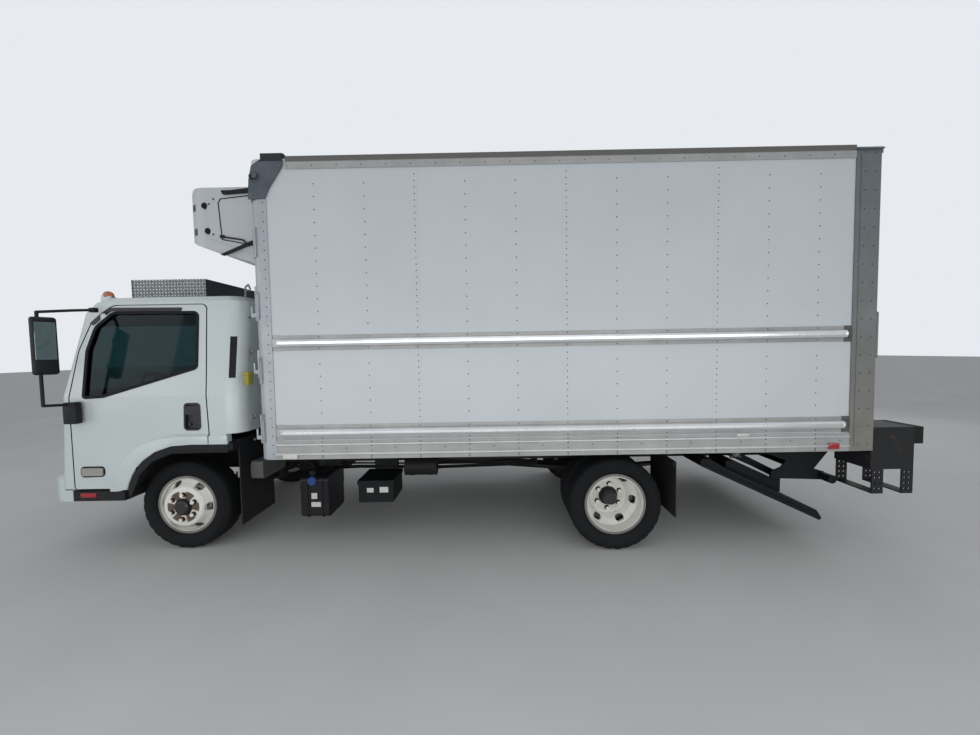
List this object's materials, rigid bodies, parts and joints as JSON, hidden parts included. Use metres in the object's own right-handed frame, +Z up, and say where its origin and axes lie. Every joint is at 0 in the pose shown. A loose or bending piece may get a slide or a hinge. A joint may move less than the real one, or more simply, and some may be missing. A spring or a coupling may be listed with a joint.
{
  "type": "refrigerated box truck",
  "caption": "Low cab-over truck with a riveted insulated body, a cooling unit on its nose, twin rear wheels and a tuck-under liftgate.",
  "frame": {"origin": "on the ground, under the middle of the overall length and width", "axes": "+X to the rear, +Y to the truck's right, +Z up"},
  "size_m": [7.527, 2.714, 3.351],
  "materials": {
    "white_paint": "gloss",
    "panel_white": "semi-gloss",
    "bright_rail": "satin",
    "galvanised": "dull",
    "chassis_black": "satin",
    "black_plastic": "matte",
    "grey_trim": "matte",
    "seat_cloth": "woven",
    "rubber_black": "matte",
    "tyre_rubber": "matte",
    "rim_paint": "worn gloss",
    "window_glass": "tinted",
    "lamp_plastic": "gloss",
    "chequer_plate": "chequered",
    "cast_plate": "dull",
    "iron": "rough",
    "rusty_steel": "rusted"
  },
  "bodies": {
    "truck": {"frame_rails": "chassis_black", "crossmembers": "chassis_black", "leaf_springs": "chassis_black", "front_axle": "iron", "rear_axle": "iron", "engine_block": "iron", "driveshaft": "chassis_black", "tanks": "black_plastic", "battery_box": "chassis_black", "exhaust": "rusty_steel", "cab_shell": "white_paint", "cab_glass": "window_glass", "front_panel": "white_paint", "grille": "black_plastic", "lamps": "lamp_plastic", "bumper": "white_paint", "dashboard": "grey_trim", "steering_wheel": "black_plastic", "seats": "seat_cloth", "fender_flares": "white_paint", "arch_liners": "black_plastic", "roof_box": "chequer_plate", "load_floor": "galvanised", "front_wall": "panel_white", "side_walls": "panel_white", "roof_panel": "bright_rail", "corner_posts": "bright_rail", "body_rails": "bright_rail", "rear_frame": "galvanised", "roll_up_door": "panel_white", "refrigeration_unit": "white_paint", "unit_grille": "black_plastic", "rear_steps": "rusty_steel", "dock_bumpers": "rubber_black", "mud_flaps": "rubber_black", "liftgate_frame": "chassis_black", "cab_trim": "black_plastic", "corner_castings": "cast_plate", "air_cleaner": "grey_trim"},
    "knuckle_left": {"knuckle_left": "iron"},
    "knuckle_right": {"knuckle_right": "iron"},
    "tie_rod": {"tie_rod": "iron"},
    "front_wheel_left": {"front_rim_left": "rim_paint", "front_tyre_left": "tyre_rubber"},
    "front_wheel_right": {"front_rim_right": "rim_paint", "front_tyre_right": "tyre_rubber"},
    "rear_wheels_left": {"rear_rims_left": "rim_paint", "rear_tyres_left": "tyre_rubber"},
    "rear_wheels_right": {"rear_rims_right": "rim_paint", "rear_tyres_right": "tyre_rubber"},
    "cab_door_left": {"cab_door_left": "white_paint", "door_glass_left": "window_glass", "door_trim_left": "black_plastic", "mirror_left": "black_plastic"},
    "cab_door_right": {"cab_door_right": "white_paint", "door_glass_right": "window_glass", "door_trim_right": "black_plastic", "mirror_right": "black_plastic"},
    "liftgate_arms": {"liftgate_arms": "chassis_black"},
    "liftgate_platform": {"liftgate_platform": "chassis_black"}
  },
  "joints": [
    {"name": "steer_left", "type": "hinge", "parent": "truck", "child": "knuckle_left", "pos_m": [-2.5595, -0.7005, 0.39], "axis": [0, 0, 1], "range_deg": [-35, 35]},
    {"name": "steer_right", "type": "hinge", "parent": "truck", "child": "knuckle_right", "pos_m": [-2.5595, 0.7005, 0.39], "axis": [0, 0, 1], "range_deg": [-35, 35]},
    {"name": "tie_rod_end", "type": "hinge", "parent": "knuckle_left", "child": "tie_rod", "pos_m": [-2.3945, -0.7005, 0.29], "axis": [0, 0, 1], "range_deg": [-35, 35]},
    {"name": "front_wheel_left_spin", "type": "hinge", "parent": "knuckle_left", "child": "front_wheel_left", "pos_m": [-2.5595, -0.8325, 0.4], "axis": [0, 1, 0], "continuous": true},
    {"name": "front_wheel_right_spin", "type": "hinge", "parent": "knuckle_right", "child": "front_wheel_right", "pos_m": [-2.5595, 0.8325, 0.4], "axis": [0, 1, 0], "continuous": true},
    {"name": "rear_wheels_left_spin", "type": "hinge", "parent": "truck", "child": "rear_wheels_left", "pos_m": [1.2505, -0.825, 0.4], "axis": [0, 1, 0], "continuous": true},
    {"name": "rear_wheels_right_spin", "type": "hinge", "parent": "truck", "child": "rear_wheels_right", "pos_m": [1.2505, 0.825, 0.4], "axis": [0, 1, 0], "continuous": true},
    {"name": "door_left_open", "type": "hinge", "parent": "truck", "child": "cab_door_left", "pos_m": [-3.4875, -1.01, 1], "axis": [0, 0, -1], "range_deg": [0, 70]},
    {"name": "door_right_open", "type": "hinge", "parent": "truck", "child": "cab_door_right", "pos_m": [-3.4875, 1.01, 1], "axis": [0, 0, 1], "range_deg": [0, 70]},
    {"name": "liftgate_lower", "type": "hinge", "parent": "truck", "child": "liftgate_arms", "pos_m": [2.4205, 0, 0.77], "axis": [0, 1, 0], "range_deg": [0, 18]},
    {"name": "platform_level", "type": "hinge", "parent": "liftgate_arms", "child": "liftgate_platform", "pos_m": [2.9405, 0, 0.5], "axis": [0, 1, 0], "range_deg": [-18, 0]}
  ],
  "couplings": [
    {"joint": "steer_right", "follows": "steer_left", "ratio": 1},
    {"joint": "tie_rod_end", "follows": "steer_left", "ratio": -1},
    {"joint": "platform_level", "follows": "liftgate_lower", "ratio": -1}
  ]
}
